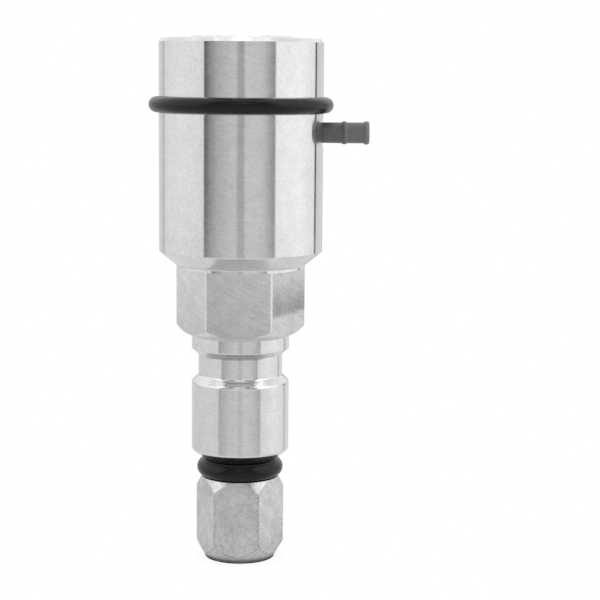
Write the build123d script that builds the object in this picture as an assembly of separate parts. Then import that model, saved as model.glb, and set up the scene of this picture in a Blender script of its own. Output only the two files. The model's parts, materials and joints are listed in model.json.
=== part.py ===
from build123d import *
import math
import os

# Waterjet cutting head, in millimetres.
# Z runs up the jet's axis. Z = 0 is the bottom face of the collet nut, where the mixing tube comes out.
# The abrasive inlet points along +X. Two flats of the wrench hexagon face -Y and +Y.

# Collet nut
nut_across_flats = 20.0
nut_height = 21.6
nut_corner_fillet = 1.1
nut_turned_rise = 1.5
nut_top_inset = 0.05
nut_top_chamfer_height = 2.88
nut_bottom_chamfer_height = 4.09
nut_foot_inset = 0.9
nut_foot_height = 0.45
nut_foot_rounding = 0.3
nut_rest_angle = -3.2
nut_floor = 4.5
nut_mouth_chamfer = 0.6

# Mixing tube that the head takes, and the room around it
tube_radius = 4.5
tube_bore_clearance = 0.1
tube_exit_clearance = 0.25

# Collet
collet_length = 9.4
collet_end_wall = 0.6
collet_waist_rise = 1.1
collet_waist_length = 1.6
collet_end_gap = 0.1
collet_seat_clearance = 0.1
collet_seat_relief = 0.8
collet_slot_count = 3
collet_slot_width = 0.8
collet_slot_web = 1.5

# Screw thread between neck and nut, M16 x 1.5. The ridges are left off:
# the nut is bored to the thread's outer radius and the neck is turned to its root.
nut_thread_radius = 8.0
nut_thread_depth = 0.65
nut_thread_relief = 0.7
neck_end_height = 10.5
neck_thread_setback = 0.7
neck_relief_wall = 1.75
neck_tip_chamfer = 0.5

# Rubber rings that show
nut_ring_section = 4.7
nut_ring_neck_clearance = 0.15
nut_ring_gap = 0.05
body_ring_section = 4.0
body_ring_proud = 2.6
body_ring_drop = 16.75
body_ring_side_clearance = 0.15
ring_floor_clearance = 0.05

# Outside of the body, from the barrel's lower end up
barrel_radius = 12.6
barrel_chamfer_width = 3.45
barrel_chamfer_height = 2.55
barrel_length = 17.9
barrel_rounding = 0.8
groove_depth = 1.74
groove_width = 5.44
groove_rounding = 0.6
flange_chamfer_height = 1.5
flange_rounding = 0.3
flange_width = 3.3
hex_across_flats = 29.0
hex_corner_rise = 2.07
hex_toe_width = 2.3
hex_toe_height = 1.15
hex_chamfer_height = 1.57
hex_crown_rounding = 6.0
hex_edge_rounding = 0.3
hex_length = 15.66
hex_run_out = 0.73
cone_height = 3.54
cone_foot_rounding = 0.25
body_radius = 21.0
body_length = 54.15
body_edge_rounding = 0.4
body_top_chamfer = 1.0

# High-pressure inlet cartridge, with a port for a 3/4-16 gland nut
collar_wall = 3.375
collar_proud = 0.65
collar_floor = 1.5
collar_edge_chamfer = 0.5
socket_clearance = 0.05
stem_radius = 8.0
stem_length = 13.0
port_thread_radius = 9.525
port_thread_length = 15.0
port_mouth_chamfer = 0.8
port_pilot_radius = 6.75
port_pilot_length = 2.5
port_seat_radius = 5.2
port_seat_half_angle = 30.0
key_hole_count = 4
key_hole_radius = 0.8
key_hole_depth = 3.0
water_bore_radius = 2.4
stem_ring_section = 2.4
stem_ring_rise = 2.4
stem_ring_squeeze = 0.4

# Orifice and mixing chamber, stacked in one bore under the stem
stack_radius = 5.5
stack_clearance = 0.04
holder_height = 6.0
holder_recess_radius = 1.9
holder_recess_depth = 1.6
holder_relief_radius = 0.8
holder_relief_mouth = 1.5
holder_ring_section = 1.3
jewel_radius = 1.25
jewel_height = 1.0
jewel_hole_radius = 0.18
jewel_clearance = 0.02
chamber_height = 18.0
chamber_jet_radius = 1.5
chamber_jet_length = 6.0
chamber_cavity_radius = 3.2
chamber_cavity_cone = 1.7

# Abrasive inlet and its passage to the mixing chamber
barb_drop = 23.7
barb_spotface_radius = 4.0
barb_radius = 2.66
barb_root_radius = 2.62
barb_bore_radius = 1.7
barb_reach = 12.15
barb_shank_radius = 2.45
barb_shank_length = 4.4
barb_fit_clearance = 0.02
barb_mid_rib_place = 5.8
barb_mid_rib_radius = 2.95
barb_mid_rib_length = 1.45
barb_end_rib_radius = 3.0
barb_end_rib_length = 1.45
barb_ring_section = 1.0
barb_pocket_run_out = 1.2
passage_radius = 2.0

# Seal ring for the mixing tube, inside the neck
tube_ring_section = 1.45
tube_ring_rise = 6.6
tube_ring_side_clearance = 0.15

# Radii and heights that follow from the values above
groove_radius = barrel_radius - groove_depth
barrel_end_radius = barrel_radius - barrel_chamfer_width
hex_corner_radius = hex_across_flats / 2 + hex_corner_rise
hex_toe_radius = barrel_radius + hex_toe_width
nut_turned_radius = nut_across_flats / 2 + nut_turned_rise
nut_top_radius = nut_across_flats / 2 - nut_top_inset
nut_foot_radius = nut_across_flats / 2 - nut_foot_inset
tube_bore_radius = tube_radius + tube_bore_clearance
collet_end_radius = tube_radius + collet_end_wall
collet_waist_radius = collet_end_radius + collet_waist_rise
neck_thread_radius = nut_thread_radius - nut_thread_depth
neck_relief_radius = tube_bore_radius + neck_relief_wall
nut_ring_center = neck_relief_radius + nut_ring_neck_clearance + nut_ring_section / 2
body_ring_center = body_radius + body_ring_proud - body_ring_section / 2
collar_radius = port_thread_radius + collar_wall
port_mouth_radius = port_thread_radius + port_mouth_chamfer
key_hole_circle = (port_mouth_radius + collar_radius - collar_edge_chamfer) / 2
barrel_bottom = nut_height + nut_ring_gap + nut_ring_section
nut_ring_height = barrel_bottom - nut_ring_section / 2
barrel_wall_bottom = barrel_bottom + barrel_chamfer_height
barrel_top = barrel_wall_bottom + barrel_length
groove_bottom = barrel_top + groove_depth
groove_top = groove_bottom + groove_width
flange_bottom = groove_top + flange_chamfer_height
flange_top = flange_bottom + flange_width
hex_toe_top = flange_top + hex_toe_height
hex_bottom = hex_toe_top + hex_chamfer_height
hex_top = hex_bottom + hex_length
hex_flat_top = hex_top - hex_run_out
body_bottom = hex_top + cone_height
body_top = body_bottom + body_length
body_ring_height = body_top - body_ring_drop
barb_height = body_top - barb_drop
collar_top = body_top + collar_proud
port_thread_bottom = collar_top - port_thread_length
port_pilot_bottom = port_thread_bottom - port_pilot_length
collar_bottom = port_pilot_bottom - collar_floor
stem_bottom = collar_bottom - stem_length
holder_bottom = stem_bottom - holder_height
chamber_bottom = holder_bottom - chamber_height
stack_bore_radius = stack_radius + stack_clearance
collet_bottom = nut_floor + collet_end_gap
collet_top = collet_bottom + collet_length
collet_middle = (collet_bottom + collet_top) / 2
neck_thread_top = nut_height - neck_thread_setback
tube_ring_height = neck_end_height + tube_ring_rise
stem_ring_height = stem_bottom + stem_ring_rise
barb_face = math.sqrt(body_radius ** 2 - barb_spotface_radius ** 2)


def turned(*outline, eased=()):
    """A solid turned about the Z axis from its (radius, height) corners. eased pairs corners with roundings."""
    profile = make_face(Plane.XZ * Polyline(*outline, close=True))
    for (radius, height), rounding in eased:
        corner = profile.vertices().sort_by_distance((radius, 0, height))[0]
        profile = fillet(corner, rounding)
    return revolve(profile, Axis.Z)


def rod(radius, low, high):
    """A plain round bar on the Z axis between two heights."""
    return Pos(0, 0, low) * Cylinder(radius, high - low, align=(Align.CENTER, Align.CENTER, Align.MIN))


def tube_wall(inner, outer, low, high):
    """A plain ring on the Z axis, as the cutter of an outside groove or of a flat's run."""
    return rod(outer, low, high) - rod(inner, low - 1, high + 1)


def hexagon_prism(across_flats, low, high):
    """A six-sided bar with corners on the X axis."""
    profile = RegularPolygon(across_flats / 2, 6, major_radius=False)
    return extrude(Pos(0, 0, low) * profile, high - low)


def o_ring(center_radius, section, height):
    """A rubber ring, given by the circle its round section follows."""
    return Pos(0, 0, height) * Torus(center_radius, section / 2)


def side_rod(radius, start, end):
    """A round bar along +X at the height of the abrasive inlet."""
    bar = Cylinder(radius, end - start, align=(Align.CENTER, Align.CENTER, Align.MIN))
    return Pos(start, 0, barb_height) * Rot(0, 90, 0) * bar


def abrasive_passage():
    """The oblique drilling from the inlet's pocket down to the floor of the mixing chamber."""
    start = Vector(barb_face - barb_shank_length, 0, barb_height)
    end = Vector(0, 0, chamber_bottom)
    run = end - start
    return extrude(Plane(origin=start, z_dir=run) * Circle(passage_radius), run.length)


def nozzle_body():
    """The stainless body: turned outside, milled hexagon, bored for cartridge, stack and tube."""
    corners = [
        (0, neck_end_height),
        (neck_thread_radius - neck_tip_chamfer, neck_end_height),
        (neck_thread_radius, neck_end_height + neck_tip_chamfer),
        (neck_thread_radius, neck_thread_top),
        (neck_relief_radius, neck_thread_top),
        (neck_relief_radius, barrel_bottom),
        (barrel_end_radius, barrel_bottom),
        (barrel_radius, barrel_wall_bottom),
        (barrel_radius, barrel_top),
        (groove_radius, groove_bottom),
        (groove_radius, groove_top),
        (barrel_radius, flange_bottom),
        (barrel_radius, flange_top),
        (hex_toe_radius, hex_toe_top),
        (hex_corner_radius, hex_bottom),
        (hex_corner_radius, hex_top),
        (body_radius, body_bottom),
        (body_radius, body_top - body_top_chamfer),
        (body_radius - body_top_chamfer, body_top),
        (0, body_top),
    ]
    roundings = [
        ((barrel_radius, barrel_wall_bottom), barrel_rounding),
        ((barrel_radius, barrel_top), barrel_rounding),
        ((groove_radius, groove_bottom), groove_rounding),
        ((barrel_radius, flange_bottom), flange_rounding),
        ((hex_toe_radius, hex_toe_top), hex_crown_rounding),
        ((hex_corner_radius, hex_bottom), hex_edge_rounding),
        ((hex_corner_radius, hex_top), cone_foot_rounding),
        ((body_radius, body_bottom), body_edge_rounding),
    ]
    body = turned(*corners, eased=roundings)
    waste = rod(hex_corner_radius + 1, flange_bottom, hex_flat_top)
    body -= waste - hexagon_prism(hex_across_flats, flange_bottom - 1, hex_flat_top + 1)

    ring_half = body_ring_section / 2 + body_ring_side_clearance
    ring_floor = body_ring_center - body_ring_section / 2 - ring_floor_clearance
    body -= tube_wall(ring_floor, body_radius + 1, body_ring_height - ring_half, body_ring_height + ring_half)

    body -= rod(collar_radius + socket_clearance, collar_bottom, body_top + 1)
    body -= rod(stem_radius + socket_clearance, stem_bottom, collar_bottom + 1)
    body -= rod(stack_bore_radius, chamber_bottom, stem_bottom + 1)
    body -= rod(tube_bore_radius, neck_end_height - 1, chamber_bottom + 1)

    seal_half = tube_ring_section / 2 + tube_ring_side_clearance
    seal_floor = tube_radius + ring_floor_clearance + tube_ring_section + ring_floor_clearance
    body -= rod(seal_floor, tube_ring_height - seal_half, tube_ring_height + seal_half)

    seat_width = collet_waist_radius + collet_seat_clearance
    seat_end = collet_end_radius + collet_seat_clearance
    seat_top = collet_top + collet_end_gap
    seat_start = collet_middle + collet_waist_length / 2
    relief_top = seat_top + collet_seat_relief
    body -= turned(
        (0, seat_start),
        (seat_width, seat_start),
        (seat_end, seat_top),
        (seat_end, relief_top),
        (0, relief_top),
    )

    pocket_end = barb_face - barb_shank_length - barb_pocket_run_out
    body -= side_rod(barb_spotface_radius, barb_face, body_radius + 1)
    body -= side_rod(barb_shank_radius + barb_fit_clearance, pocket_end, body_radius + 1)
    seal_pocket_radius = barb_root_radius + barb_ring_section + ring_floor_clearance
    body -= side_rod(seal_pocket_radius, barb_face - barb_ring_section, body_radius + 1)
    body -= abrasive_passage()
    return body


def inlet_body():
    """The cartridge that closes the top: threaded port, cone seat, stem and nose."""
    seat_drop = (port_seat_radius - water_bore_radius) / math.tan(math.radians(port_seat_half_angle))
    outside = turned(
        (0, stem_bottom),
        (stem_radius - collar_edge_chamfer, stem_bottom),
        (stem_radius, stem_bottom + collar_edge_chamfer),
        (stem_radius, collar_bottom),
        (collar_radius, collar_bottom),
        (collar_radius, collar_top - collar_edge_chamfer),
        (collar_radius - collar_edge_chamfer, collar_top),
        (0, collar_top),
    )
    port = turned(
        (0, stem_bottom - 1),
        (water_bore_radius, stem_bottom - 1),
        (water_bore_radius, port_pilot_bottom - seat_drop),
        (port_seat_radius, port_pilot_bottom),
        (port_pilot_radius, port_pilot_bottom),
        (port_pilot_radius, port_thread_bottom),
        (port_thread_radius, port_thread_bottom),
        (port_thread_radius, collar_top - port_mouth_chamfer),
        (port_mouth_radius, collar_top),
        (port_mouth_radius, collar_top + 1),
        (0, collar_top + 1),
    )
    ring_floor = stem_radius - stem_ring_section + stem_ring_squeeze
    ring_half = stem_ring_section / 2 + body_ring_side_clearance
    groove = tube_wall(
        ring_floor - ring_floor_clearance,
        stem_radius + 1,
        stem_ring_height - ring_half,
        stem_ring_height + ring_half,
    )
    shell = outside - port - groove
    for turn in range(key_hole_count):
        hole = rod(key_hole_radius, collar_top - key_hole_depth, collar_top + 1)
        shell -= Rot(0, 0, (turn + 0.5) * 360 / key_hole_count) * Pos(key_hole_circle, 0, 0) * hole
    return shell


def inlet_seal():
    """The stem's ring, squeezed a little flat between its groove and the bore."""
    inner = stem_radius - stem_ring_section + stem_ring_squeeze
    outer = stem_radius
    squeezed = Ellipse((outer - inner) / 2, stem_ring_section / 2)
    return revolve(Plane.XZ * Pos((inner + outer) / 2, stem_ring_height) * squeezed, Axis.Z)


def orifice_holder():
    """The disc that carries the stone, with a flared relief below it."""
    recess_floor = stem_bottom - holder_recess_depth
    disc = rod(stack_radius, holder_bottom, stem_bottom)
    disc -= rod(holder_recess_radius, recess_floor, stem_bottom + 1)
    disc -= turned(
        (0, holder_bottom),
        (holder_relief_mouth, holder_bottom),
        (holder_relief_radius, (holder_bottom + recess_floor) / 2),
        (holder_relief_radius, recess_floor + 1),
        (0, recess_floor + 1),
    )
    middle = (holder_bottom + stem_bottom) / 2 - holder_recess_depth / 2
    half = holder_ring_section / 2 + ring_floor_clearance
    floor = stack_radius - holder_ring_section - ring_floor_clearance
    return disc - tube_wall(floor, stack_radius + 1, middle - half, middle + half)


def holder_o_ring():
    """The ring that keeps the holder in its bore."""
    middle = (holder_bottom + stem_bottom) / 2 - holder_recess_depth / 2
    return o_ring(stack_radius - holder_ring_section / 2, holder_ring_section, middle)


def orifice_jewel():
    """The drilled stone."""
    floor = stem_bottom - holder_recess_depth
    return tube_wall(jewel_hole_radius, jewel_radius, floor, floor + jewel_height)


def jewel_retainer():
    """The ring pressed in around the stone."""
    floor = stem_bottom - holder_recess_depth
    inner = jewel_radius + jewel_clearance
    outer = holder_recess_radius - jewel_clearance
    return tube_wall(inner, outer, floor, floor + jewel_height)


def mixing_chamber():
    """The hard insert where jet and abrasive meet."""
    cavity_top = holder_bottom - chamber_jet_length
    insert = rod(stack_radius, chamber_bottom, holder_bottom)
    insert -= turned(
        (0, chamber_bottom - 1),
        (chamber_cavity_radius, chamber_bottom - 1),
        (chamber_cavity_radius, cavity_top - chamber_cavity_cone),
        (chamber_jet_radius, cavity_top),
        (chamber_jet_radius, holder_bottom + 1),
        (0, holder_bottom + 1),
    )
    return insert - abrasive_passage()


def abrasive_inlet():
    """The hose barb: one turned piece with two rounded ribs and a rounded end, along +X."""
    root = barb_face
    tip = root + barb_reach
    mid = root + barb_mid_rib_place
    mid_half = barb_mid_rib_length / 2
    end_start = tip - barb_end_rib_length
    shank = root - barb_shank_length
    outline = (
        Line((shank, barb_bore_radius), (shank, barb_shank_radius))
        + Line((shank, barb_shank_radius), (root, barb_shank_radius))
        + Line((root, barb_shank_radius), (root, barb_root_radius))
        + Line((root, barb_root_radius), (mid - mid_half, barb_radius))
        + ThreePointArc(
            (mid - mid_half, barb_radius),
            (mid, barb_mid_rib_radius),
            (mid + mid_half, barb_radius),
        )
        + Line((mid + mid_half, barb_radius), (end_start, barb_radius))
        + ThreePointArc(
            (end_start, barb_radius),
            (end_start + barb_end_rib_length / 2, barb_end_rib_radius),
            (tip, barb_radius),
        )
        + Line((tip, barb_radius), (tip, barb_bore_radius))
        + Line((tip, barb_bore_radius), (shank, barb_bore_radius))
    )
    profile = make_face(Plane.XZ * Pos(0, barb_height) * outline)
    return revolve(profile, Axis((0, 0, barb_height), (1, 0, 0)))


def abrasive_inlet_seal():
    """The little ring in the pocket at the root of the barb."""
    center = barb_shank_radius + ring_floor_clearance + barb_ring_section / 2
    ring = Torus(center, barb_ring_section / 2)
    return Pos(barb_face - barb_ring_section / 2, 0, barb_height) * Rot(0, 90, 0) * ring


def collet():
    """The double-taper sleeve, slotted from both ends in turn."""
    waist_low = collet_middle - collet_waist_length / 2
    waist_high = collet_middle + collet_waist_length / 2
    sleeve = turned(
        (tube_radius, collet_bottom),
        (collet_end_radius, collet_bottom),
        (collet_waist_radius, waist_low),
        (collet_waist_radius, waist_high),
        (collet_end_radius, collet_top),
        (tube_radius, collet_top),
    )
    slot_length = collet_length - collet_slot_web
    reach = collet_waist_radius + 1
    slot = Box(reach, collet_slot_width, slot_length + 1, align=(Align.MIN, Align.CENTER, Align.MIN))
    step = 360 / collet_slot_count
    for turn in range(collet_slot_count):
        sleeve -= Rot(0, 0, turn * step) * Pos(0, 0, collet_bottom - 1) * slot
        sleeve -= Rot(0, 0, (turn + 0.5) * step) * Pos(0, 0, collet_top - slot_length) * slot
    return sleeve


def collet_nut():
    """The hexagonal nut: soft corners, steep chamfers, rounded foot, thread and taper for the collet."""
    prism = hexagon_prism(nut_across_flats, 0, nut_height)
    prism = fillet(prism.edges().filter_by(Axis.Z), nut_corner_fillet)
    envelope = turned(
        (0, 0),
        (nut_foot_radius, 0),
        (nut_foot_radius, nut_foot_height),
        (nut_turned_radius, nut_foot_height + nut_bottom_chamfer_height),
        (nut_turned_radius, nut_height - nut_top_chamfer_height),
        (nut_top_radius, nut_height),
        (0, nut_height),
        eased=[((nut_foot_radius, 0), nut_foot_rounding)],
    )
    mouth = nut_thread_radius + nut_mouth_chamfer
    taper_top = collet_middle - collet_waist_length / 2
    waist = collet_waist_radius + collet_seat_clearance
    hole = tube_radius + tube_exit_clearance
    inside = turned(
        (0, -1),
        (hole, -1),
        (hole, nut_floor),
        (collet_end_radius + collet_seat_clearance, nut_floor),
        (waist, taper_top),
        (waist, neck_end_height - nut_thread_relief),
        (nut_thread_radius, neck_end_height - nut_thread_relief),
        (nut_thread_radius, nut_height - nut_mouth_chamfer),
        (mouth, nut_height),
        (mouth, nut_height + 1),
        (0, nut_height + 1),
    )
    return Rot(0, 0, nut_rest_angle) * ((prism & envelope) - inside)


parts = {
    "nozzle_body": nozzle_body(),
    "inlet_body": inlet_body(),
    "inlet_seal": inlet_seal(),
    "orifice_holder": orifice_holder(),
    "holder_o_ring": holder_o_ring(),
    "orifice_jewel": orifice_jewel(),
    "jewel_retainer": jewel_retainer(),
    "mixing_chamber": mixing_chamber(),
    "abrasive_inlet": abrasive_inlet(),
    "abrasive_inlet_seal": abrasive_inlet_seal(),
    "body_o_ring": o_ring(body_ring_center, body_ring_section, body_ring_height),
    "nut_o_ring": o_ring(nut_ring_center, nut_ring_section, nut_ring_height),
    "tube_seal": o_ring(
        tube_radius + ring_floor_clearance + tube_ring_section / 2, tube_ring_section, tube_ring_height
    ),
    "collet": collet(),
    "collet_nut": collet_nut(),
}

os.makedirs("parts", exist_ok=True)
for name, shape in parts.items():
    export_step(shape, f"parts/{name}.step")
    box = shape.bounding_box()
    print(f"{name:22s} volume {shape.volume:9.1f}  z {box.min.Z:6.1f} to {box.max.Z:6.1f}")
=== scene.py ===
# %% [markdown]
# # A waterjet cutting head, dressed for its picture
#
# The cutting head is turned from stainless steel. High-pressure water comes in at the top, abrasive grit
# comes in through the small barb on the side, and both leave as one jet through the nut at the bottom. The
# solids are already exact, so this lesson keeps them as they are. It adds what the solids leave off: the
# screw threads, a finish for every surface, and a small photo studio.

# %% Load the solids
import json
import math
import bpy
from mathutils import Matrix, Vector

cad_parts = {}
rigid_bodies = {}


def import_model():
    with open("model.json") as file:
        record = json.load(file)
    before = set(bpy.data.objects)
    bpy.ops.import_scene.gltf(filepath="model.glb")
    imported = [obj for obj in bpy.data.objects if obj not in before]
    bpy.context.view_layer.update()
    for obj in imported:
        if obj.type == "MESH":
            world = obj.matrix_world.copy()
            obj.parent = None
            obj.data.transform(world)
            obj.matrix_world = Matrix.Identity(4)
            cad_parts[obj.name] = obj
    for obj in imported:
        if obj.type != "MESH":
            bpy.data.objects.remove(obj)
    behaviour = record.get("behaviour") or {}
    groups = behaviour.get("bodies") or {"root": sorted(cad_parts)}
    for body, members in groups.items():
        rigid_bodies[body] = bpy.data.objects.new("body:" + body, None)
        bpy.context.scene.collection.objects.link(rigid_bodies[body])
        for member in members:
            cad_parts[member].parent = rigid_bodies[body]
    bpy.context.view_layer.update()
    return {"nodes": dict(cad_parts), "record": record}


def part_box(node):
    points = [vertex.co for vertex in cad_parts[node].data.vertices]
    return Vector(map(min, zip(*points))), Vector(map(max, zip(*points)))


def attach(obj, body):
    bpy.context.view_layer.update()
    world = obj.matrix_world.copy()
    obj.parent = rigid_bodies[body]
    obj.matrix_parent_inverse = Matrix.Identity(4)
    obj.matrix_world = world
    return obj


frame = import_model()
nodes = frame["nodes"]
bpy.ops.object.select_all(action="DESELECT")
MM = 0.001

# %% [markdown]
# ## The camera
#
# The picture is taken from a little under half a metre away, from just below the level of the head's top
# and a little to its right, and the camera looks slightly down. The lens is long, so the head's sides look
# almost parallel. The camera could be aimed with a Track To constraint, but a matrix built from its turn,
# dip and lean can be matched to a photograph by small steps.

# %% Place the camera
IMAGE_SIZE = 600
FOCAL_PIXELS = 1751.2
SENSOR_WIDTH = 36.0
CLIP_RANGE = (0.01, 20.0)
CAMERA_DISTANCE = 0.450
CAMERA_HEIGHT = 0.1275
CAMERA_AZIMUTH = math.radians(1.9)
CAMERA_DIP = math.radians(7.547)
CAMERA_YAW = math.radians(1.962)
CAMERA_ROLL = math.radians(0.46)

camera = bpy.data.objects.new("camera", bpy.data.cameras.new("camera"))
bpy.context.scene.collection.objects.link(camera)
bpy.context.scene.camera = camera
camera.data.sensor_width = SENSOR_WIDTH
camera.data.lens = FOCAL_PIXELS * SENSOR_WIDTH / IMAGE_SIZE
camera.data.clip_start, camera.data.clip_end = CLIP_RANGE
turned_about = Matrix.Rotation(CAMERA_AZIMUTH - CAMERA_YAW, 4, "Z")
dipped = Matrix.Rotation(math.pi / 2 - CAMERA_DIP, 4, "X")
leaned = Matrix.Rotation(CAMERA_ROLL, 4, "Z")
spot = Vector((math.sin(CAMERA_AZIMUTH), -math.cos(CAMERA_AZIMUTH), 0)) * CAMERA_DISTANCE
spot.z = CAMERA_HEIGHT
camera.matrix_world = Matrix.Translation(spot) @ turned_about @ dipped @ leaned
print("lens in mm:", round(camera.data.lens, 1))

# %% [markdown]
# ## Small helpers for shader nodes
#
# A material is a little diagram of nodes. It could be drawn by hand in the shader editor, but a diagram
# that is written down can be read and changed like any recipe. One helper adds a node, sets its options and
# fills or links its inputs. The others are the few steps that every recipe below repeats.

# %% Node helpers
def put(tree, kind, inputs=None, **options):
    """Adds a node, sets its options, and fills or links its inputs."""
    made = tree.nodes.new(kind)
    for name, value in options.items():
        setattr(made, name, value)
    for key, value in (inputs or {}).items():
        if isinstance(value, bpy.types.NodeSocket):
            tree.links.new(value, made.inputs[key])
        else:
            made.inputs[key].default_value = value
    return made


def calc(tree, operation, first, second=0.0, third=0.0):
    """One step of arithmetic on numbers or sockets."""
    inputs = {0: first, 1: second, 2: third}
    return put(tree, "ShaderNodeMath", inputs, operation=operation).outputs[0]


def between(tree, value, low, high, out_low=0.0, out_high=1.0, smooth=True):
    """Maps a value from one range to another and holds it at the ends."""
    inputs = {"Value": value, "From Min": low, "From Max": high, "To Min": out_low, "To Max": out_high}
    kind = "SMOOTHSTEP" if smooth else "LINEAR"
    return put(tree, "ShaderNodeMapRange", inputs, interpolation_type=kind).outputs["Result"]


def plateau(tree, value, low, full, fading, gone):
    """Climbs from 0 to 1 between low and full, and falls back to 0 between fading and gone."""
    rise = between(tree, value, low, full)
    return calc(tree, "MULTIPLY", rise, between(tree, value, fading, gone, 1.0, 0.0))


def axes_of(tree, vector):
    """The X, Y and Z of a vector, as sockets."""
    return put(tree, "ShaderNodeSeparateXYZ", {0: vector}).outputs


def vector_of(tree, x=0.0, y=0.0, z=0.0):
    """A vector from three numbers or sockets."""
    return put(tree, "ShaderNodeCombineXYZ", {0: x, 1: y, 2: z}).outputs[0]


def length_of(tree, vector):
    """How long a vector is."""
    return put(tree, "ShaderNodeVectorMath", {0: vector}, operation="LENGTH").outputs["Value"]


def scaled(tree, vector, factor):
    """A vector made longer or shorter."""
    return put(tree, "ShaderNodeVectorMath", {0: vector, "Scale": factor}, operation="SCALE").outputs[0]


# %% [markdown]
# ## The studio
#
# Polished steel has hardly any colour of its own: what shows is the room. Here the room is a white softbox
# on either side, a grey wall on the camera's side, thin dark seams between them, and a bright ceiling.
# The steel mirrors other walls where it slopes, so the walls are listed for several heights. Each list was
# found by looking at what a surface mirrors and comparing its brightness with the photograph.

# %% List the walls by compass angle
# Angles are in degrees from the camera's side, positive towards the barb. Levels are brightness, 1 is white.
EYE_LEVEL_WALLS = [
    (-180, 0.40), (-168, 0.78), (-152, 0.74), (-140, 0.72), (-138.5, 0.48), (-136.5, 0.48), (-135, 0.82),
    (-120, 0.94), (-92, 1.00), (-57, 0.93), (-52.8, 0.93), (-52.0, 0.04), (-45, 0.28), (-33, 0.52),
    (-16, 0.66), (-7, 0.69), (-4, 0.45), (3, 0.45), (6, 0.73), (23, 0.74), (32, 0.67), (47, 0.32),
    (48.3, 0.32), (49.2, 1.12), (90, 1.20), (115, 1.03), (124.8, 1.02), (126.3, 0.03), (129.8, 0.03),
    (131.3, 0.78), (157, 0.80), (180, 0.40),
]
LOW_WALLS = [
    (-180, 0.40), (-168, 0.77), (-60, 0.79), (-53, 0.78), (-52, 0.56), (-40, 0.62), (-22, 0.71), (-8, 0.735),
    (-4, 0.66), (4, 0.66), (8, 0.735), (30, 0.70), (46, 0.57), (48, 0.57), (50, 0.86), (66, 0.93), (84, 1.03),
    (113, 0.95), (125, 0.90), (127, 0.62), (132, 0.62), (135, 0.84), (157, 0.86), (180, 0.40),
]
RAISED_WALLS = [
    (-180, 0.95), (-144, 1.00), (-130, 1.13), (-65, 1.25), (-52, 1.35), (-48, 0.46), (44, 0.46), (50, 1.45),
    (92, 1.30), (116, 0.98), (136, 1.03), (180, 1.05),
]
HIGH_WALLS = [
    (-180, 0.95), (-144, 1.00), (-130, 1.13), (-118, 1.12), (-110, 0.80), (-99, 1.10), (-86, 1.34),
    (-65, 1.34), (-52, 1.35), (-48, 0.24), (-24, 0.24), (-15, 0.92), (13, 0.92), (22, 0.24), (44, 0.24),
    (49, 1.75), (78, 1.42), (92, 1.55), (98, 1.35), (106, 0.86), (116, 0.94), (136, 1.03), (180, 1.05),
]
STEEP_WALLS = [
    (-180, 1.20), (-75, 1.22), (-50, 0.72), (-35, 0.58), (0, 0.60), (40, 0.58), (55, 0.72), (80, 1.30),
    (180, 1.20),
]
DEEP_WALLS = [(-180, 0.80), (-60, 0.82), (-45, 0.80), (45, 0.80), (60, 0.82), (180, 0.80)]
CEILING = [(-180, 1.90), (180, 1.90)]
NADIR = [(-180, 0.65), (180, 0.65)]

# Each band holds its walls between two heights, in degrees above the horizon, and blends into its neighbours.
ROOM = [
    (-90, -75, NADIR), (-55, -30, DEEP_WALLS), (-12, -9, LOW_WALLS), (-5, 5, EYE_LEVEL_WALLS),
    (15, 30, RAISED_WALLS), (38, 64, HIGH_WALLS), (72, 80, STEEP_WALLS), (87, 90, CEILING),
]
print("bands:", len(ROOM), "stops at eye level:", len(EYE_LEVEL_WALLS))

# %% [markdown]
# ## Paint the room
#
# Real lamps and cards could be placed one by one. A world that is painted by compass angle and height gives
# the same reflections with less noise, and it stays put when the camera goes round. The camera itself sees
# plain white. Standard view keeps the greys as they are painted.

# %% Paint the world
def grey(level):
    """A neutral colour of that brightness."""
    return (level, level, level, 1.0)


def ramp(tree, value, stops):
    """A colour ramp of grey levels, given as (place, level) pairs."""
    made = put(tree, "ShaderNodeValToRGB", {"Fac": value})
    elements = made.color_ramp.elements
    for place, level in stops[1:-1]:
        elements.new(place).color = grey(level)
    for element, (place, level) in ((elements[0], stops[0]), (elements[-1], stops[-1])):
        element.position = place
        element.color = grey(level)
    return made.outputs["Color"]


def wall_ramp(tree, angle, walls):
    """Turns a compass angle in radians into the brightness of the wall there."""
    place = calc(tree, "MULTIPLY_ADD", angle, 1 / (2 * math.pi), 0.5)
    return ramp(tree, place, [((degrees + 180) / 360, level) for degrees, level in walls])


def blend_colors(tree, share, first, second):
    """A colour between two colours, which are inputs 6 and 7 of this node, and its output 2."""
    return put(tree, "ShaderNodeMix", {0: share, 6: first, 7: second}, data_type="RGBA").outputs[2]


world = bpy.data.worlds.new("studio")
bpy.context.scene.world = world
world.use_nodes = True
sky = world.node_tree
sky.nodes.clear()
direction = axes_of(sky, put(sky, "ShaderNodeTexCoord").outputs["Generated"])
backwards = calc(sky, "MULTIPLY", direction["Y"], -1.0)
compass = calc(sky, "SUBTRACT", calc(sky, "ARCTAN2", direction["X"], backwards), CAMERA_AZIMUTH)
elevation = calc(sky, "ARCSINE", direction["Z"])
room = wall_ramp(sky, compass, ROOM[0][2])
for (_, below, _), (above, _, walls) in zip(ROOM, ROOM[1:]):
    share = between(sky, elevation, math.radians(below), math.radians(above))
    room = blend_colors(sky, share, room, wall_ramp(sky, compass, walls))
seen = put(sky, "ShaderNodeLightPath").outputs["Is Camera Ray"]
room = blend_colors(sky, seen, room, grey(1.0))
background = put(sky, "ShaderNodeBackground", {"Color": room, "Strength": 1.0})
put(sky, "ShaderNodeOutputWorld", {"Surface": background.outputs[0]})
bpy.context.scene.view_settings.view_transform = "Standard"
print("world nodes:", len(sky.nodes))

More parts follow.
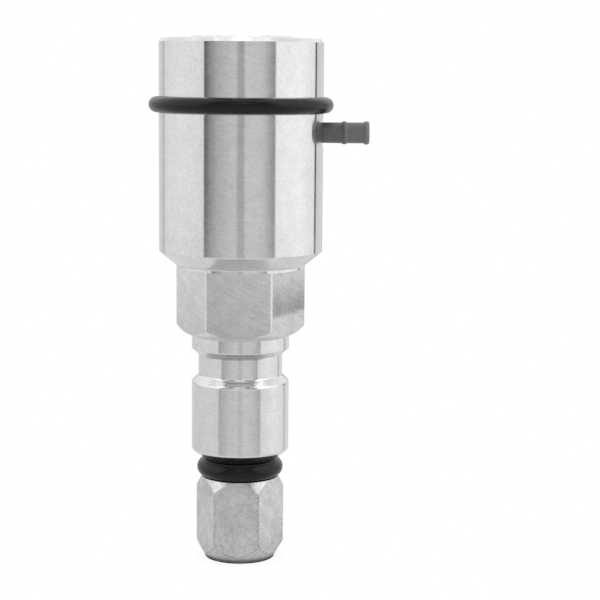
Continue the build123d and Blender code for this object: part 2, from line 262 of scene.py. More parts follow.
# %% [markdown]
# ## The floor
#
# The head stands on a pale table. The camera sees it as white as the background, with a faint trace of the
# head's soft shadow. The steel sees more of that shadow, which is why the nut's foot looks dark where it
# meets the table. A large plane would do, but a disc is enough, because it fades into the white before its
# rim. It rides on the nut, which is what stands on it, so that it goes down with the nut when the nut is
# screwed off.

# %% Make the floor
# Radii are in metres. A glow is the share of white light, and the rest of the disc is matt.
FLOOR_RADIUS = 0.045
FLOOR_CORNERS = 128
FLOOR_SHADE = 0.25
CONTACT_START = 0.0092
CONTACT_END = 0.0106
TRACE_END = 0.0135
SHADE_START = 0.020
SHADE_END = 0.043
CAMERA_GLOW = 0.95
CONTACT_GLOW = 0.66
RIM_GLOW = 0.14

bpy.ops.mesh.primitive_circle_add(vertices=FLOOR_CORNERS, radius=FLOOR_RADIUS, fill_type="NGON")
floor = bpy.context.active_object
floor.name = "floor"
bpy.ops.object.select_all(action="DESELECT")
floor_finish = bpy.data.materials.new("pale_floor")
floor_finish.use_nodes = True
paper = floor_finish.node_tree
paper.nodes.clear()
reach = length_of(paper, put(paper, "ShaderNodeTexCoord").outputs["Object"])
for_camera = between(paper, reach, CONTACT_START, TRACE_END, CAMERA_GLOW, 1.0)
# Mirrored rays get no glow close to the nut, so the steel mirrors a darker floor there: a painted shadow that
# deepens the real one.
contact = between(paper, reach, CONTACT_START, CONTACT_END, 0.0, CONTACT_GLOW)
for_mirror = calc(paper, "ADD", contact, between(paper, reach, SHADE_START, SHADE_END, 0.0, RIM_GLOW))
rays = put(paper, "ShaderNodeLightPath").outputs
fade = between(paper, rays["Is Camera Ray"], 0.0, 1.0, for_mirror, for_camera, smooth=False)
matt = put(paper, "ShaderNodeBsdfDiffuse", {"Color": grey(FLOOR_SHADE)})
lit = calc(paper, "MAXIMUM", rays["Is Camera Ray"], rays["Is Glossy Ray"])
lit = calc(paper, "MAXIMUM", lit, rays["Is Transmission Ray"])
glow = put(paper, "ShaderNodeEmission", {"Color": grey(1.0), "Strength": lit})
surface = put(paper, "ShaderNodeMixShader", {0: fade, 1: matt.outputs[0], 2: glow.outputs[0]})
put(paper, "ShaderNodeOutputMaterial", {"Surface": surface.outputs[0]})
floor.data.materials.append(floor_finish)
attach(floor, "nut")
print("floor radius in mm:", FLOOR_RADIUS / MM)

# %% [markdown]
# ## Shared effects
#
# Tool marks, rubbed strokes, clouding and grain are wanted in more than one finish. They could be copied
# into each material, but then each change would be made many times. Here each is a node group with its own
# inputs, built once. A group reads the place on the piece in millimetres. Most of its values lie around
# zero, so that a material can add them to a colour, a roughness or a height, and the others are masks from
# 0 to 1.

# %% Helpers for a node group
def new_group(name, inputs, outputs):
    """An empty shader group with number sockets, and its two end nodes."""
    group = bpy.data.node_groups.new(name, "ShaderNodeTree")
    for socket, value in inputs.items():
        made = group.interface.new_socket(socket, in_out="INPUT", socket_type="NodeSocketFloat")
        made.default_value = value
    for socket in outputs:
        group.interface.new_socket(socket, in_out="OUTPUT", socket_type="NodeSocketFloat")
    start = group.nodes.new("NodeGroupInput").outputs
    end = group.nodes.new("NodeGroupOutput").inputs
    return group, start, end


def place_in_mm(tree):
    """The point on the piece, in millimetres, as a vector socket."""
    return scaled(tree, put(tree, "ShaderNodeTexCoord").outputs["Object"], 1 / MM)


def noise(tree, vector, scale, detail=2.0, roughness=0.5):
    """Noise centred on zero."""
    inputs = {"Vector": vector, "Scale": scale, "Detail": detail, "Roughness": roughness}
    made = put(tree, "ShaderNodeTexNoise", inputs)
    return calc(tree, "SUBTRACT", made.outputs["Fac"], 0.5)


def distance_from_axis(tree, axes):
    """How far the point is from the jet's axis."""
    return length_of(tree, vector_of(tree, axes["X"], axes["Y"]))


# %% [markdown]
# ### Turning marks
#
# A lathe tool leaves fine rings round the axis. On a cylinder they are level lines, on a face they are
# circles. They could be cut as real grooves, at the cost of millions of faces. Noise that changes fast with
# radius and height but slowly round the piece gives both kinds from one recipe.

# %% Build the turning marks
# A step outwards counts for more than a step upwards, so that a cone keeps its rings.
OUTWARD_WEIGHT = 1.37
# Each layer has its name, its share of the rings per mm and the detail of its noise.
RING_LAYERS = [("Fine", 1.0, 3.0), ("Broad", 0.12, 2.0)]


def turning_marks():
    """Rings left by a lathe tool, as a fine and a broad value."""
    group, start, end = new_group("Turning marks", {"Rings per mm": 5.0, "Wander": 0.03}, ["Fine", "Broad"])
    axes = axes_of(group, place_in_mm(group))
    along = calc(group, "MULTIPLY_ADD", distance_from_axis(group, axes), OUTWARD_WEIGHT, axes["Z"])
    x = calc(group, "MULTIPLY", axes["X"], start["Wander"])
    y = calc(group, "MULTIPLY", axes["Y"], start["Wander"])
    rings = calc(group, "MULTIPLY", along, start["Rings per mm"])
    for name, share, detail in RING_LAYERS:
        z = calc(group, "MULTIPLY", rings, share)
        group.links.new(noise(group, vector_of(group, x, y, z), 1.0, detail), end[name])
    return group


TURNING_MARKS = turning_marks()
print("nodes in the turning marks:", len(TURNING_MARKS.nodes))

# %% [markdown]
# ### Rubbed strokes
#
# After turning, the body was wiped and rubbed by hand, which leaves short slanting strokes. They could be
# drawn one by one as curves, but noise that is stretched along a slanting line gives any number of them.
# One set is stretched from left to right and one from front to back, and each is used where the surface
# faces it, so that there is no seam.

# %% Build the rubbed strokes
STROKE_STRETCH = 0.16
STROKE_SLOPE = 0.30
STROKE_DETAIL = 3.0
STROKE_ROUGHNESS = 0.6
SMALLEST_RADIUS = 0.1


def rubbed_strokes():
    """Short slanting strokes all round a turned piece."""
    group, start, end = new_group("Rubbed strokes", {"Strokes per mm": 3.0}, ["Strokes"])
    axes = axes_of(group, place_in_mm(group))
    radius = calc(group, "MAXIMUM", distance_from_axis(group, axes), SMALLEST_RADIUS)
    sets = []
    for along, across, slope in (("X", "Y", STROKE_SLOPE), ("Y", "X", -STROKE_SLOPE)):
        level = calc(group, "MULTIPLY_ADD", axes[along], slope, axes["Z"])
        vector = vector_of(group, calc(group, "MULTIPLY", axes[along], STROKE_STRETCH), axes[across], level)
        vector = scaled(group, vector, start["Strokes per mm"])
        strokes = noise(group, vector, 1.0, STROKE_DETAIL, STROKE_ROUGHNESS)
        facing = calc(group, "POWER", calc(group, "DIVIDE", axes[across], radius), 2.0)
        sets.append(calc(group, "MULTIPLY", strokes, facing))
    group.links.new(calc(group, "ADD", *sets), end["Strokes"])
    return group


RUBBED_STROKES = rubbed_strokes()
print("nodes in the rubbed strokes:", len(RUBBED_STROKES.nodes))

# %% [markdown]
# ### The painted reflection on each flat
#
# The six wrench flats were milled one after another. The three in front mirror the room differently, and here
# each one's tone is a painted reflection, the front one also darker towards the bottom. The flat on the
# barb's side is painted darker as a whole. Its lower part was cut in a second pass, and above that line the
# first pass is painted darker still towards the line. A material for each flat could hold its painted
# reflection. One value that depends on the angle round the axis keeps them all in one material.

# %% Helpers for the flats
# Angles are in degrees from the middle of the front flat, positive towards the barb. Sizes are in mm, and a
# shade with UP or ACROSS in its name is for each mm. The shades are painted reflection. The edge of the
# second pass is a little blurred.
HALF_FLAT = 30
FRONT_FLAT = 0
BARB_FLAT = 60
LEFT_FLAT = -60
FLATS_TOP = 76.6
FRONT_SHADE = 0.06
FRONT_SHADE_ACROSS = 0.010
FRONT_SHADE_UP = 0.0095
LEFT_SHADE = -0.01
LEFT_SHADE_UP = 0.010
BARB_SHADE = 0.17
SECOND_PASS_TOP = 65.7
SECOND_PASS_SLOPE = 0.040
SECOND_PASS_EDGE = (-1.4, 0.6)
FIRST_PASS_REACH = 10.0
FIRST_PASS_SHADE = -0.36


def wrench_side(tree, axes, turn_degrees):
    """The angle from the middle of the nearest of six flats, and the angle round the axis."""
    angle = calc(tree, "ARCTAN2", axes["X"], calc(tree, "MULTIPLY", axes["Y"], -1.0))
    turned = calc(tree, "SUBTRACT", angle, math.radians(turn_degrees))
    return calc(tree, "WRAP", turned, math.radians(HALF_FLAT), math.radians(-HALF_FLAT)), angle


def painted_flat_reflections(tree, across, height, angle):
    """How much lighter or darker each of the three front flats is painted, a painted reflection. The others
    are as the steel is.
    """
    line = calc(tree, "MULTIPLY_ADD", across, SECOND_PASS_SLOPE, SECOND_PASS_TOP)
    over = calc(tree, "SUBTRACT", height, line)
    darkening = between(tree, over, 0.0, FIRST_PASS_REACH, FIRST_PASS_SHADE, 0.0)
    first_pass = calc(tree, "MULTIPLY", between(tree, over, *SECOND_PASS_EDGE), darkening)
    down = calc(tree, "SUBTRACT", height, FLATS_TOP)
    upright = calc(tree, "MULTIPLY_ADD", down, FRONT_SHADE_UP, FRONT_SHADE)
    shades = {
        FRONT_FLAT: calc(tree, "MULTIPLY_ADD", across, FRONT_SHADE_ACROSS, upright),
        BARB_FLAT: calc(tree, "SUBTRACT", first_pass, BARB_SHADE),
        LEFT_FLAT: calc(tree, "MULTIPLY_ADD", down, LEFT_SHADE_UP, LEFT_SHADE),
    }
    shade = 0.0
    for degrees, amount in shades.items():
        here = calc(tree, "COMPARE", angle, math.radians(degrees), math.radians(HALF_FLAT))
        shade = calc(tree, "MULTIPLY_ADD", here, amount, shade)
    return shade


print("flats:", 180 // HALF_FLAT)

# %% [markdown]
# ### Milling arcs
#
# A wide milling head cut the flats, and its teeth left large faint arcs across each. The arcs could be
# modelled as grooves on each flat. Instead the six flats share one pattern: the angle round the axis is
# folded into one sixth, and rings of noise are drawn round a point off the flat.

# %% Build the milling arcs
FLAT_REACH = 14.5
FLAT_TOLERANCE = 0.012
FLATS_BOTTOM = 55.0
ARC_CENTER_ACROSS = 16.0
ARC_CENTER_UP = 104.0
ARC_DRIFT = 0.10
ARC_DETAIL = 4.0
ARC_ROUGHNESS = 0.65


def milling_arcs():
    """Arcs across the wrench flats, a mask that is 1 on the flats, and the painted reflection on each flat.
    """
    group, start, end = new_group("Milling arcs", {"Arcs per mm": 3.0}, ["Arcs", "Flats", "Shade"])
    axes = axes_of(group, place_in_mm(group))
    height = axes["Z"]
    folded, angle = wrench_side(group, axes, FRONT_FLAT)
    radius = distance_from_axis(group, axes)
    across = calc(group, "MULTIPLY", radius, calc(group, "SINE", folded))
    reach = calc(group, "MULTIPLY", radius, calc(group, "COSINE", folded))
    aside = calc(group, "SUBTRACT", across, ARC_CENTER_ACROSS)
    away = vector_of(group, aside, calc(group, "SUBTRACT", height, ARC_CENTER_UP))
    rings = calc(group, "MULTIPLY", length_of(group, away), start["Arcs per mm"])
    vector = vector_of(group, calc(group, "MULTIPLY", across, ARC_DRIFT), 0.0, rings)
    group.links.new(noise(group, vector, 1.0, ARC_DETAIL, ARC_ROUGHNESS), end["Arcs"])
    on_flat = calc(group, "COMPARE", reach, FLAT_REACH, FLAT_TOLERANCE)
    above = calc(group, "GREATER_THAN", height, FLATS_BOTTOM)
    below = calc(group, "LESS_THAN", height, FLATS_TOP)
    flats = calc(group, "MULTIPLY", on_flat, calc(group, "MULTIPLY", above, below))
    group.links.new(flats, end["Flats"])
    # The Shade output is the painted reflection on each flat.
    group.links.new(painted_flat_reflections(group, across, height, angle), end["Shade"])
    return group


MILLING_ARCS = milling_arcs()
print("nodes in the milling arcs:", len(MILLING_ARCS.nodes))

# %% [markdown]
# ### Clouding and grain
#
# Handling, tumbling and cleaning leave soft clouds and small specks on every surface. A painted image could
# hold them, but it would have to be fitted to each piece. Two layers of plain noise go round any piece.

# %% Build clouding and grain
CLOUD_DETAIL = 3.0
GRAIN_DETAIL = 2.0
CLOUDING_ROUGHNESS = 0.6


def clouding():
    """Soft clouds and fine grain."""
    inputs = {"Clouds per mm": 0.15, "Grains per mm": 6.0}
    group, start, end = new_group("Clouding", inputs, ["Clouds", "Grain"])
    point = place_in_mm(group)
    clouds = noise(group, point, start["Clouds per mm"], CLOUD_DETAIL, CLOUDING_ROUGHNESS)
    grain = noise(group, point, start["Grains per mm"], GRAIN_DETAIL, CLOUDING_ROUGHNESS)
    group.links.new(clouds, end["Clouds"])
    group.links.new(grain, end["Grain"])
    return group


CLOUDING = clouding()
print("nodes in the clouding:", len(CLOUDING.nodes))

# %% [markdown]
# ### Worn corners
#
# Tumbling has nicked the corners of the nut, and dirt stays in the nicks. A thin dark line follows each
# corner and the edge over the lower bevel. The foot is painted darker where it touches the table, a painted
# contact shadow. The wear could be painted by hand on each edge. The folding that finds the middle of a flat
# also finds the corners, and a noise that is cut off at a threshold leaves only scattered specks there.

# %% The lines on the nut's edges
# Corner angles are in degrees from the middle of a flat. Heights and radii are in mm.
NUT_TURN = -3.2
NUT_FLAT_REACH = 10.0
CORNER_START = 24.5
CORNER_END = 28.5
CORNER_LINE = 0.7
BEVEL_FOOT_RADIUS = 9.1
BEVEL_FOOT_HEIGHT = 0.45
BEVEL_SLOPE = 1.704
BEVEL_LINE_HEIGHT = 0.32
BEVEL_LINE_END = 0.05
WEAR_PER_MM = 0.9
WEAR_THRESHOLDS = (-0.15, 0.15)
WEAR_LEVELS = (0.1, 1.0)


def bevel_line(tree, point, axes, folded):
    """A broken line just over the bevel that rounds off the nut's lower corners."""
    radius = distance_from_axis(tree, axes)
    height_at_axis = BEVEL_FOOT_HEIGHT - BEVEL_FOOT_RADIUS * BEVEL_SLOPE
    bevel = calc(tree, "MULTIPLY_ADD", radius, BEVEL_SLOPE, height_at_axis)
    over = between(tree, calc(tree, "SUBTRACT", axes["Z"], bevel), 0.0, BEVEL_LINE_HEIGHT, 1.0, 0.0)
    reach = calc(tree, "MULTIPLY", radius, calc(tree, "COSINE", folded))
    near = between(tree, reach, NUT_FLAT_REACH - BEVEL_LINE_HEIGHT, NUT_FLAT_REACH - BEVEL_LINE_END)
    wear = between(tree, noise(tree, point, WEAR_PER_MM), *WEAR_THRESHOLDS, *WEAR_LEVELS)
    return calc(tree, "MULTIPLY", wear, calc(tree, "MULTIPLY", over, near))


def corner_line(tree, folded, span):
    """A thin line along each upright corner."""
    edge = between(tree, folded, math.radians(CORNER_END), math.radians(HALF_FLAT), 0.0, CORNER_LINE)
    return calc(tree, "MULTIPLY", edge, span)


print("corner line in degrees:", HALF_FLAT - CORNER_END)

# %% [markdown]
# ### Where the nut is nicked
#
# Nicks lie along the corners, along the lines above and in a soft band over the lower rim. Each place is a
# mask from 0 to 1, and the masks could each cut their own specks. Here the strongest of them lifts one
# noise over one threshold, so the specks stay alike wherever two places meet.

# %% Build the worn corners
CORNER_SPAN = (4.2, 4.8, 18.2, 18.8)
RIM_SPAN = (1.0, 3.5, 5.5, 8.0)
RIM_SHARE = 0.7
# The foot's painted shadow fades out between these heights in mm.
FOOT_PAINTED_SHADOW = (0.25, 0.60)
SPECK_DETAIL = 2.0
SPECK_ROUGHNESS = 0.7
SPECK_LIFT = 0.16
SPECK_THRESHOLDS = (0.20, 0.32)


def worn_corners():
    """Dark specks along the nut's corners and lower rim, the lines on its edges, and a painted shadow at its
    foot.
    """
    group, start, end = new_group("Worn corners", {"Specks per mm": 2.6}, ["Specks", "Line", "Foot"])
    point = place_in_mm(group)
    axes = axes_of(group, point)
    height = axes["Z"]
    folded = calc(group, "ABSOLUTE", wrench_side(group, axes, NUT_TURN)[0])
    span = plateau(group, height, *CORNER_SPAN)
    corner = between(group, folded, math.radians(CORNER_START), math.radians(CORNER_END))
    corner = calc(group, "MULTIPLY", corner, span)
    line = calc(group, "MAXIMUM", bevel_line(group, point, axes, folded), corner_line(group, folded, span))
    group.links.new(line, end["Line"])
    rim = calc(group, "MULTIPLY", plateau(group, height, *RIM_SPAN), RIM_SHARE)
    where = calc(group, "MAXIMUM", calc(group, "MAXIMUM", corner, rim), line)
    speck = noise(group, point, start["Specks per mm"], SPECK_DETAIL, SPECK_ROUGHNESS)
    level = calc(group, "MULTIPLY_ADD", where, SPECK_LIFT, speck)
    group.links.new(between(group, level, *SPECK_THRESHOLDS), end["Specks"])
    # The foot output is a painted contact shadow, darkest at the bottom.
    group.links.new(between(group, height, *FOOT_PAINTED_SHADOW, 1.0, 0.0), end["Foot"])
    return group


WORN_CORNERS = worn_corners()
print("shared groups:", len(bpy.data.node_groups))

# %% [markdown]
# ## The finishes
#
# The pieces are steel, rubber, plastic, carbide, brass and a jewel, and each kind has its own finish. A
# finish could mix several shaders. One Principled shader is enough here: plain numbers such as anisotropy
# are set on the shader itself, and only what changes over the surface comes in from the groups.

# %% Helpers for a finish
def new_finish(name):
    """A material with one Principled shader, ready for its pattern."""
    material = bpy.data.materials.new(name)
    material.use_nodes = True
    tree = material.node_tree
    tree.nodes.clear()
    shader = put(tree, "ShaderNodeBsdfPrincipled")
    put(tree, "ShaderNodeOutputMaterial", {"Surface": shader.outputs[0]})
    return material, tree, shader


def use_group(tree, group, **values):
    """Places a shared group and sets its inputs."""
    made = put(tree, "ShaderNodeGroup", node_tree=group)
    for name, value in values.items():
        made.inputs[name.replace("_", " ")].default_value = value
    return made.outputs


def total(tree, *terms):
    """The sum of value times weight pairs."""
    result = 0.0
    for value, weight in terms:
        result = calc(tree, "MULTIPLY_ADD", value, weight, result)
    return result


def paint(tree, shader, color, tone, roughness, unevenness):
    """Makes the colour lighter or darker by the tone, and the roughness more or less by the unevenness."""
    tinted = scaled(tree, color, calc(tree, "ADD", tone, 1.0))
    tree.links.new(tinted, shader.inputs["Base Color"])
    tree.links.new(calc(tree, "ADD", unevenness, roughness), shader.inputs["Roughness"])


def relief(tree, shader, height, depth_mm, strength):
    """Feeds a height into the shader's normal."""
    made = put(tree, "ShaderNodeBump", {"Height": height, "Distance": depth_mm * MM, "Strength": strength})
    tree.links.new(made.outputs[0], shader.inputs["Normal"])


slot_of = {part["node"]: part["material_slot"] for part in frame["record"]["subparts"]}
FINISHES = {}
print("finishes to make:", len(set(slot_of.values())))

# %% [markdown]
# ### Bands on the body
#
# Four bands of painted light and shade lie on the body. Painted shade lies under the flange, a painted shadow
# line with a painted highlight over it marks the foot of the wide groove, and the shoulder below it is
# painted paler. The crease could be cut into the solid, but it is only a quarter of a millimetre high. Each
# is a narrow band that fades out to both sides, on the front and on the back, and the crease and its pale
# line turn up at their ends.

# %% Draw the bands
# Each band of painted light or shade has four heights in mm, its middle and its reach along X, how much it
# lightens, and its upturn.
PAINTED_LIGHT_BANDS = [
    ((53.5, 53.8, 55.15, 55.45), -1.0, (6.2, 8.2), -0.32, 0.0),
    ((47.98, 48.10, 48.68, 48.88), 0.0, (3.0, 4.0), 0.33, 0.0023),
    ((47.68, 47.79, 47.91, 48.02), 0.0, (4.5, 5.1), -0.36, 0.0023),
    ((46.15, 46.40, 46.95, 47.10), 0.0, (4.4, 5.4), 0.26, 0.0),
]
UPTURN_POWER = 4.0


def painted_light_bands(tree):
    """Narrow bands of painted light and shade, front and back: shade under the flange, a shadow line and a
    highlight at the groove's foot, a paler shoulder.
    """
    axes = axes_of(tree, place_in_mm(tree))
    result = 0.0
    for heights, middle, (near, far), amount, upturn in PAINTED_LIGHT_BANDS:
        aside = calc(tree, "ABSOLUTE", calc(tree, "SUBTRACT", axes["X"], middle))
        bent = calc(tree, "MULTIPLY_ADD", calc(tree, "POWER", aside, UPTURN_POWER), -upturn, axes["Z"])
        level = plateau(tree, bent, *heights)
        band = calc(tree, "MULTIPLY", level, between(tree, aside, near, far, 1.0, 0.0))
        result = calc(tree, "MULTIPLY_ADD", band, amount, result)
    return result


print("bands on the body:", len(PAINTED_LIGHT_BANDS))

# %% [markdown]
# ### Turned and milled steel
#
# The body is bright stainless. Along the rings it mirrors the room sharply, and across them it blurs. Real
# grooves would do that too, but anisotropy does it with one number, and a tangent round the axis tells it
# which way the rings run. The wrench flats are duller, with their own arcs.

# %% Steel for the body and the cartridge
STEEL_ANISOTROPY = 0.85
ACROSS_THE_RINGS = 0.25


def turned_steel(name, color, roughness, rings_per_mm):
    """Lathe-turned stainless steel, with milled wrench flats where it has them."""
    material, tree, shader = new_finish(name)
    rings = use_group(tree, TURNING_MARKS, Rings_per_mm=rings_per_mm)
    clouds = use_group(tree, CLOUDING, Clouds_per_mm=0.22, Grains_per_mm=2.8)
    mottle = use_group(tree, CLOUDING, Clouds_per_mm=0.85, Grains_per_mm=5.0)
    strokes = use_group(tree, RUBBED_STROKES, Strokes_per_mm=2.0)
    arcs = use_group(tree, MILLING_ARCS, Arcs_per_mm=2.2)
    flats = arcs["Flats"]
    round_part = calc(tree, "SUBTRACT", 1.0, flats)
    # The body's bands are painted light and shade.
    lines = total(
        tree, (rings["Fine"], 0.06), (rings["Broad"], 0.04), (clouds["Clouds"], 0.20),
        (clouds["Grain"], 0.30), (mottle["Clouds"], 0.20), (mottle["Grain"], 0.28),
        (strokes["Strokes"], 0.28), (painted_light_bands(tree), 1.0),
    )
    # The flats' Shade is a painted reflection.
    milled = total(
        tree, (arcs["Arcs"], 0.55), (clouds["Clouds"], 0.32), (clouds["Grain"], 0.34),
        (mottle["Clouds"], 0.22), (mottle["Grain"], 0.32), (arcs["Shade"], 1.0),
    )
    tone = calc(tree, "ADD", calc(tree, "MULTIPLY", lines, round_part), calc(tree, "MULTIPLY", milled, flats))
    uneven = total(
        tree, (rings["Fine"], 0.03), (clouds["Clouds"], 0.06), (strokes["Strokes"], 0.06), (flats, 0.16)
    )
    paint(tree, shader, color, tone, roughness, uneven)
    shader.inputs["Metallic"].default_value = 1.0
    shader.inputs["Anisotropic"].default_value = STEEL_ANISOTROPY
    shader.inputs["Anisotropic Rotation"].default_value = ACROSS_THE_RINGS
    tangent = put(tree, "ShaderNodeTangent", direction_type="RADIAL", axis="Z")
    tree.links.new(tangent.outputs[0], shader.inputs["Tangent"])
    turned = calc(tree, "MULTIPLY", rings["Fine"], round_part)
    height = calc(tree, "MULTIPLY_ADD", arcs["Arcs"], flats, turned)
    relief(tree, shader, height, depth_mm=0.003, strength=0.35)
    return material


FINISHES["turned_steel"] = turned_steel(
    "body_steel", (0.72, 0.72, 0.716), roughness=0.13, rings_per_mm=5.0
)
FINISHES["cartridge_steel"] = turned_steel(
    "cartridge_steel", (0.82, 0.82, 0.815), roughness=0.18, rings_per_mm=6.0
)
print("nodes in the body's steel:", len(FINISHES["turned_steel"].node_tree.nodes))

# %% [markdown]
# ### Tumbled steel
#
# The nut was tumbled in stones after milling, so it is duller, with soft stains, fine dents and dirty
# nicks. The dents could be modelled, but they are only hundredths of a millimetre deep, and a bump shows
# them as well. The collet is ground steel of the same kind, with hardly a stain.

# %% Steel for the nut and the collet
COARSE_GRAIN_SHARE = 1.2
LINE_SHARE = 0.6
# The foot's share sets how dark its painted contact shadow is.
FOOT_SHARE = 1.7


def tumbled_steel(name, color, roughness, stain, specks):
    """Dull steel with clouds, fine dents and dark specks along the corners."""
    material, tree, shader = new_finish(name)
    clouds = use_group(tree, CLOUDING, Clouds_per_mm=0.24, Grains_per_mm=2.8)
    fine = use_group(tree, CLOUDING, Clouds_per_mm=0.9, Grains_per_mm=5.5)
    worn = use_group(tree, WORN_CORNERS, Specks_per_mm=2.6)
    tone = total(
        tree, (clouds["Clouds"], stain), (fine["Clouds"], stain),
        (clouds["Grain"], stain * COARSE_GRAIN_SHARE), (fine["Grain"], stain),
        (worn["Specks"], -specks), (worn["Line"], -specks * LINE_SHARE), (worn["Foot"], -specks * FOOT_SHARE),
    )
    uneven = total(tree, (clouds["Clouds"], 0.12), (fine["Grain"], 0.08), (worn["Specks"], 0.2))
    paint(tree, shader, color, tone, roughness, uneven)
    shader.inputs["Metallic"].default_value = 1.0
    dents = total(tree, (fine["Clouds"], 1.0), (clouds["Grain"], 0.6))
    relief(tree, shader, dents, depth_mm=0.02, strength=0.5)
    return material


FINISHES["tumbled_steel"] = tumbled_steel(
    "tumbled_steel", (0.63, 0.63, 0.625), roughness=0.34, stain=0.56, specks=0.50
)
FINISHES["collet_steel"] = tumbled_steel(
    "ground_steel", (0.60, 0.60, 0.60), roughness=0.28, stain=0.08, specks=0.0
)
print("nodes in the nut's steel:", len(FINISHES["tumbled_steel"].node_tree.nodes))

# %% [markdown]
# ### Rubber
#
# The two rings are black rubber with a little dust in their grain, and the seals inside are a paler rubber.
# A sheen could stand for the dust, but it would light the whole ring. Grain that is cut off at a threshold
# leaves specks.

# %% Rubber for the rings and the seals
DUST_THRESHOLDS = (0.05, 0.24)
DUST_LEVELS = (0.0, 7.0)
RUBBER_SPECULAR = 0.27


def black_rubber(name, color, roughness):
    """Black rubber with a faint dusty bloom."""
    material, tree, shader = new_finish(name)
    clouds = use_group(tree, CLOUDING, Clouds_per_mm=0.6, Grains_per_mm=3.4)
    dust = between(tree, clouds["Grain"], *DUST_THRESHOLDS, *DUST_LEVELS)
    tone = total(tree, (clouds["Clouds"], 1.0), (dust, 1.0))
    uneven = total(tree, (clouds["Clouds"], 0.30), (clouds["Grain"], 0.30))
    paint(tree, shader, color, tone, roughness, uneven)
    shader.inputs["Specular IOR Level"].default_value = RUBBER_SPECULAR
    relief(tree, shader, clouds["Grain"], depth_mm=0.03, strength=0.6)
    return material


FINISHES["ring_rubber"] = black_rubber("ring_rubber", (0.004, 0.004, 0.0042), roughness=0.24)
FINISHES["seal_rubber"] = black_rubber("seal_rubber", (0.030, 0.030, 0.030), roughness=0.50)
print("nodes in the rubber:", len(FINISHES["ring_rubber"].node_tree.nodes))

# %% [markdown]
# ### Plastic and the inner pieces
#
# The barb is dull and dark, and paler beyond each of its ribs, where hoses have rubbed it. The pieces in
# the bore hardly show, but each still has its own finish for whoever takes the head apart. Each could have
# a pattern of its own. One plain recipe with a little grain serves them all.

# %% The other finishes
WORN_EDGE = 0.3
# Each pair is a place along the barb in mm, and how much paler it is beyond.
BARB_WEAR = [(26.4, 0.30), (31.3, 0.30)]


def dull_solid(name, color, roughness, metallic, grain, worn_along=()):
    """A plain dull material with a little grain, paler beyond each (place, share) pair along X."""
    material, tree, shader = new_finish(name)
    clouds = use_group(tree, CLOUDING, Clouds_per_mm=0.6, Grains_per_mm=8.0)
    tone = total(tree, (clouds["Clouds"], grain), (clouds["Grain"], grain))
    for place, share in worn_along:
        along = axes_of(tree, place_in_mm(tree))["X"]
        tone = calc(tree, "ADD", tone, between(tree, along, place, place + WORN_EDGE, 0.0, share))
    uneven = total(tree, (clouds["Clouds"], 0.10), (clouds["Grain"], 0.05))
    paint(tree, shader, color, tone, roughness, uneven)
    shader.inputs["Metallic"].default_value = metallic
    relief(tree, shader, clouds["Grain"], depth_mm=0.01, strength=0.3)
    return material


FINISHES["barb_grey"] = dull_solid(
    "barb_grey", (0.13, 0.13, 0.13), roughness=0.42, metallic=0.0, grain=0.70, worn_along=BARB_WEAR
)
FINISHES["carbide"] = dull_solid("carbide", (0.16, 0.16, 0.17), roughness=0.30, metallic=0.6, grain=0.15)
FINISHES["jewel"] = dull_solid("jewel", (0.75, 0.78, 0.85), roughness=0.08, metallic=0.0, grain=0.03)
FINISHES["retainer_brass"] = dull_solid(
    "retainer_brass", (0.72, 0.55, 0.28), roughness=0.28, metallic=1.0, grain=0.10
)
print("finishes:", len(FINISHES))

# %% [markdown]
# ## Dress the solids
#
# Each solid names the slot of its material in the record. A material could be chosen for every solid by
# hand, but going by the slots leaves none out, and pieces of one material always match.

# %% Give each solid its finish
for name, solid in nodes.items():
    for material_slot in solid.material_slots:
        material_slot.material = FINISHES[slot_of[name]]
print("dressed:", len(nodes))

# %% [markdown]
# ## The screw threads
#
# The solids leave the threads off: the supply port and the nut are bored to the thread's outer radius, and
# the neck is turned to its root. A thread is one ridge that climbs as it goes round. It could be carved
# with a boolean, but winding a small four-sided outline up with the Screw modifier gives clean, even faces.
# The ridge's foot sits a hair inside the wall that carries it, so no gap shows.

# %% A helper that winds one ridge
THREAD_STEPS = 72
FOOT_SINK = 0.02
SMOOTH_BELOW = math.radians(30)
# The plane's corners in the order that goes round it: two at the foot, then two at the crest.
ROUND_THE_PLANE = (0, 2, 3, 1)


def thread_ridge(name, foot_radius, crest_radius, foot_width, crest_width, pitch, bottom, turns):
    """A helical ridge in millimetres, from the middle of its first turn upwards, closed at both ends."""
    outward = 1 if crest_radius > foot_radius else -1
    foot = foot_radius - outward * FOOT_SINK
    foot_half = foot_width / 2
    crest_half = crest_width / 2
    corners = [(foot, -foot_half), (foot, foot_half), (crest_radius, crest_half), (crest_radius, -crest_half)]
    bpy.ops.object.select_all(action="DESELECT")
    bpy.ops.mesh.primitive_plane_add(size=1.0)
    ridge = bpy.context.active_object
    ridge.name = name
    bpy.ops.object.mode_set(mode="EDIT")
    bpy.ops.mesh.delete(type="ONLY_FACE")
    bpy.ops.object.mode_set(mode="OBJECT")
    for index, (radius, height) in zip(ROUND_THE_PLANE, corners):
        ridge.data.vertices[index].co = Vector((radius, 0, bottom + height)) * MM
    wind = ridge.modifiers.new("wind", "SCREW")
    wind.axis = "Z"
    wind.screw_offset = pitch * MM
    wind.iterations = turns
    wind.steps = wind.render_steps = THREAD_STEPS
    wind.use_smooth_shade = False
    bpy.ops.object.modifier_apply(modifier="wind")
    bpy.ops.object.mode_set(mode="EDIT")
    bpy.ops.mesh.select_mode(type="EDGE")
    bpy.ops.mesh.select_all(action="DESELECT")
    bpy.ops.mesh.select_non_manifold()
    bpy.ops.mesh.edge_face_add()
    bpy.ops.mesh.select_all(action="SELECT")
    bpy.ops.mesh.normals_make_consistent(inside=False)
    bpy.ops.object.mode_set(mode="OBJECT")
    bpy.ops.object.shade_smooth_by_angle(angle=SMOOTH_BELOW)
    bpy.ops.object.select_all(action="DESELECT")
    return ridge


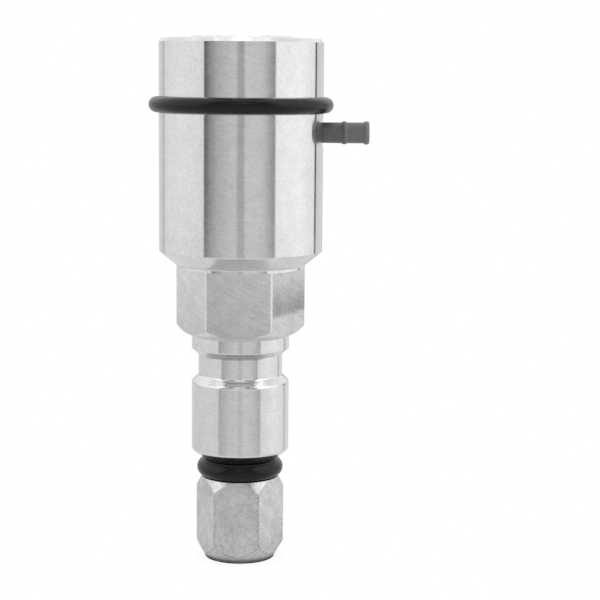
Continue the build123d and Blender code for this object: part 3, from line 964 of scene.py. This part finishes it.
def finish_piece(piece, slot, body):
    """Gives a new piece its finish, its slot and the body it moves with."""
    piece.data.materials.clear()
    piece.data.materials.append(FINISHES[slot])
    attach(piece, body)


print("degrees in one step of a ridge:", 360 / THREAD_STEPS)

# %% [markdown]
# ### The thread of the supply port
#
# The gland of the water supply screws into the top. Its thread has sixteen turns to the inch, and the ridge
# grows inwards from the port's wall. It could run right up to the rim, but a real one stops short of the
# chamfer, so its place is measured down from the top of the cartridge.

# %% Wind the thread of the supply port
INCH = 25.4
PORT_RADIUS = 9.525
PORT_PITCH = INCH / 16
PORT_CREST_RADIUS = 8.67
PORT_FOOT_WIDTH = 1.36
PORT_CREST_WIDTH = 0.40
PORT_THREAD_LENGTH = 15.0
PORT_THREAD_RUNOUT = 0.75
PORT_TURNS = 8

port_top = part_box("inlet_body")[1].z / MM
port_start = port_top - PORT_THREAD_LENGTH + PORT_THREAD_RUNOUT
port_thread = thread_ridge(
    "port_thread", PORT_RADIUS, PORT_CREST_RADIUS, PORT_FOOT_WIDTH, PORT_CREST_WIDTH, PORT_PITCH,
    port_start, PORT_TURNS,
)
finish_piece(port_thread, "cartridge_steel", "head")
print("port thread faces:", len(port_thread.data.polygons))

# %% [markdown]
# ### The threads of neck and nut
#
# The nut screws onto the neck. Its ridge has the neck's pitch and shape, and points inwards. Both could be
# placed by eye. Starting the nut's ridge half a pitch above the neck's puts each in the other's groove, and
# as the nut falls by one pitch a turn they never touch.

# %% Wind the threads of neck and nut
NUT_RADIUS = 8.0
NECK_RADIUS = 7.35
SCREW_PITCH = 1.5
SCREW_TURNS = 5
RIDGE_RISE = 0.58
RIDGE_FOOT = 0.88
RIDGE_CREST = 0.19
NECK_LEAD = 1.2

neck_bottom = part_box("nozzle_body")[0].z / MM
nut_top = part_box("collet_nut")[1].z / MM
neck_start = neck_bottom + NECK_LEAD
neck_thread = thread_ridge(
    "neck_thread", NECK_RADIUS, NECK_RADIUS + RIDGE_RISE, RIDGE_FOOT, RIDGE_CREST, SCREW_PITCH,
    neck_start, SCREW_TURNS,
)
nut_thread = thread_ridge(
    "nut_thread", NUT_RADIUS, NUT_RADIUS - RIDGE_RISE, RIDGE_FOOT, RIDGE_CREST, SCREW_PITCH,
    neck_start + SCREW_PITCH / 2, SCREW_TURNS,
)
finish_piece(neck_thread, "turned_steel", "head")
finish_piece(nut_thread, "tumbled_steel", "nut")
print("neck ridge up to:", round(neck_start + SCREW_TURNS * SCREW_PITCH, 1), "nut top:", round(nut_top, 1))
